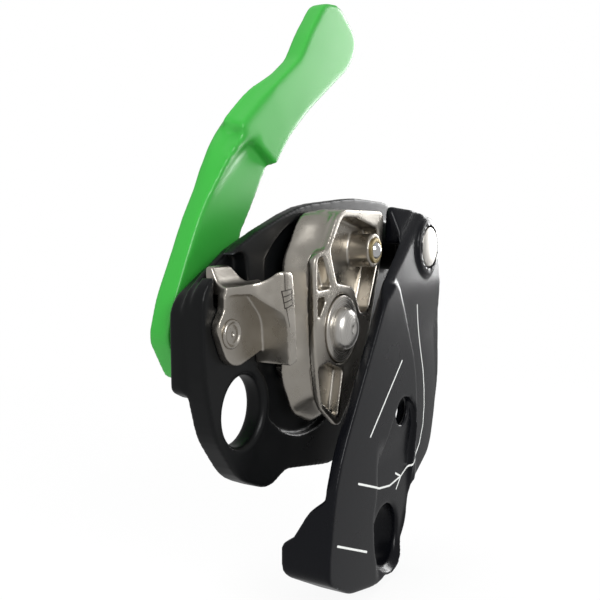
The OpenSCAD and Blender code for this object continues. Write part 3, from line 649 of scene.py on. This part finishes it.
# parts whose own edges only need softening, each with the width of its rounding
turned = {
    "jaw_screw": {"body": "body", "material": screwSteel, "width": 0.2 * mm},
    "axle": {"body": "body", "material": turnedAxle, "width": 0.35 * mm},
    "axle_washer": {"body": "body", "material": groundWasher, "width": 0.2 * mm},
    "axle_nut": {"body": "body", "material": screwSteel, "width": 0.2 * mm},
    "cam_stop_pin": {"body": "body", "material": screwSteel, "width": 0.2 * mm},
    "pivot_pin": {"body": "body", "material": turnedPivot, "width": 0.3 * mm},
    "pivot_washer": {"body": "body", "material": groundWasher, "width": 0.15 * mm},
    "button_plug": {"body": "body", "material": screwSteel, "width": 0.2 * mm},
    "hub_cap": {"body": "body", "material": mouldedCap, "width": 0.5 * mm},
    "cam_bush": {"body": "cam_body", "material": sinteredBronze, "width": 0.15 * mm},
    "detent_sleeve": {"body": "cam_body", "material": turnedBrass, "width": 0.1 * mm},
    "lever_core": {"body": "lever_body", "material": stampedAluminium, "width": 0.2 * mm},
    "lever_bush": {"body": "lever_body", "material": sinteredBronze, "width": 0.15 * mm},
    "lever_screws": {"body": "lever_body", "material": screwSteel, "width": 0.15 * mm},
    "drive_pin": {"body": "lever_body", "material": screwSteel, "width": 0.2 * mm},
}
for name, look in turned.items():
    piece = copyNode(name, name + ".finished", look["material"])
    softenEdges(piece, look["width"])
    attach(piece, look["body"])

# the button: a domed tip with a centre dimple, a long skirt and a flange that keeps it in the axle
button = {
    "profile": [(0, -17.3), (0.5, -17.35), (0.9, -17.7), (1.6, -17.85), (3.2, -17.7), (4.6, -17.25),
                (5.5, -16.6), (6.0, -15.8), (6.2, -14.8), (6.2, -6), (6.9, -6), (6.9, -2), (5.3, -2),
                (5.3, -10), (0, -10)],
    "edge": 0.18 * mm, "steps": 96,
    "material": turnedButton, "body": "button_body", "replaces": "release_button",
}
turnPiece("domedButton", axle, button)

# the jaw's rivet: a low head with a rolled ring round a dome, peened in the middle
rivet = {
    "profile": [(0, -5.75), (0.35, -5.8), (0.6, -6.15), (1.4, -6.2), (2.2, -5.95), (2.6, -5.85),
                (2.9, -6.1), (3.3, -6.35), (3.7, -6.2), (3.9, -5.6), (2.5, -5.6), (2.5, 7.2),
                (3.9, 7.2), (3.7, 7.9), (2.6, 8), (0, 8)],
    "edge": 0.18 * mm, "steps": 60,
    "material": rivetSteel, "body": "body", "replaces": "jaw_rivet",
}
turnPiece("peenedRivet", axle + Vector((-44.3, 0, 3.4)) * mm, rivet)

# the ball is polished all round, and the springs are drawn wire
ball = copyNode("detent_ball", "polishedBall", polishedBall)
pick(ball)
bpy.ops.object.shade_smooth()
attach(ball, "ball_body")
springBodies = {"cam_spring": "body", "lever_spring": "body", "button_spring": "body",
                "detent_spring": "cam_body"}
for name, bodyName in springBodies.items():
    piece = copyNode(name, name + ".wire", springWire)
    pick(piece)
    bpy.ops.object.shade_smooth_by_angle(angle=math.radians(50))
    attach(piece, bodyName)
print("turned parts ready")


# matt and pale under the part, and plain white to the camera farther out
def buildFloor():
    look = {"drop": 2, "size": 6.0, "colour": "#f0f0f0", "dull": 0.9, "glow": 0.9, "near": 0.16, "far": 0.4}
    clearSelection()
    bpy.ops.mesh.primitive_plane_add(size=look["size"], location=(0, 0, cadBox[0][2] - look["drop"] * mm))
    floor = bpy.context.object
    floor.name = "floor"
    floor.visible_glossy = False
    material, shader = newMaterial("paleFloor", look["colour"], 0.0, look["dull"], Specular_IOR_Level=0.0)
    rays = addNode(material, "LightPath").outputs
    glow = addNode(material, "Emission", in0=(1, 1, 1, 1), in1=1.0).outputs[0]
    place = addNode(material, "TexCoord").outputs["Object"]
    away = addNode(material, "VectorMath", [(place, 0)], operation="LENGTH").outputs[1]
    fade = addNode(material, "MapRange", [(away, 0)], in1=look["near"], in2=look["far"],
                   in3=look["glow"], in4=1.0).outputs[0]
    share = addNode(material, "Math", [(rays["Is Camera Ray"], 0), (fade, 1)],
                    operation="MULTIPLY").outputs[0]
    mix = addNode(material, "MixShader", [(share, 0), (shader.outputs[0], 1), (glow, 2)]).outputs[0]
    plug(material, mix, material.node_tree.nodes["Material Output"], "Surface")
    floor.data.materials.append(material)


# white to the camera and through clear things; a dim, even room to everything else
def buildWorld():
    look = {"room": 0.2, "glossy": 0.47}
    world = bpy.data.worlds.new("studio")
    bpy.context.scene.world = world
    world.use_nodes = True
    rays = addNode(world, "LightPath").outputs
    seen = addNode(world, "Math", [(rays["Is Camera Ray"], 0), (rays["Is Transmission Ray"], 1)],
                   operation="MAXIMUM").outputs[0]
    shine = addNode(world, "Math", [(rays["Is Glossy Ray"], 0)], operation="MULTIPLY",
                    in1=look["glossy"]).outputs[0]
    most = addNode(world, "Math", [(seen, 0), (shine, 1)], operation="MAXIMUM").outputs[0]
    level = addNode(world, "Math", [(most, 0)], operation="MAXIMUM", in1=look["room"]).outputs[0]
    back = world.node_tree.nodes["Background"]
    back.inputs["Color"].default_value = (1, 1, 1, 1)
    plug(world, level, back, "Strength")


# soft boxes, in metres and watts. Only the key and the right box show in the polished metal
def buildLamps():
    lamps = {
        "keyBox": {"place": (-0.35, -0.75, 0.5), "aim": (0.02, 0, 0.02), "size": (0.5, 0.5), "power": 6.5,
                   "mirrored": True},
        "sideBox": {"place": (-0.9, 0.1, 0.25), "aim": (0.02, 0, 0.02), "size": (0.5, 0.7), "power": 4.0,
                    "mirrored": False},
        "rightBox": {"place": (0.88, -0.16, 0.2), "aim": (0.06, 0, 0.02), "size": (0.3, 0.5), "power": 4.5,
                     "mirrored": True},
        "topBox": {"place": (0.1, 0.15, 0.8), "aim": (0.02, 0, 0.02), "size": (0.6, 0.6), "power": 5.0,
                   "mirrored": False},
    }
    for name, look in lamps.items():
        light = bpy.data.lights.new(name, "AREA")
        light.shape = "RECTANGLE"
        light.size, light.size_y = look["size"]
        light.energy = look["power"]
        lamp = bpy.data.objects.new(name, light)
        lamp.location = look["place"]
        lamp.visible_glossy = look["mirrored"]
        towards = Vector(look["aim"]) - Vector(look["place"])
        lamp.rotation_euler = towards.to_track_quat("-Z", "Y").to_euler()
        bpy.context.collection.objects.link(lamp)


def buildCamera():
    look = {"azimuth": -60.25, "elevation": 6.0, "place": (-0.1796, -0.1226, 0.0521), "lens": 50.1,
            "sensor": 36, "near": 0.01, "far": 50}
    camera = bpy.data.cameras.new("camera")
    camera.lens = look["lens"]
    camera.sensor_width = look["sensor"]
    camera.clip_start = look["near"]
    camera.clip_end = look["far"]
    holder = bpy.data.objects.new("camera", camera)
    holder.location = look["place"]
    holder.rotation_euler = (math.radians(90 - look["elevation"]), 0, math.radians(look["azimuth"]))
    bpy.context.collection.objects.link(holder)
    bpy.context.scene.camera = holder
    bpy.context.scene.view_settings.view_transform = "Standard"


buildFloor()
buildWorld()
buildLamps()
buildCamera()
print("studio ready")
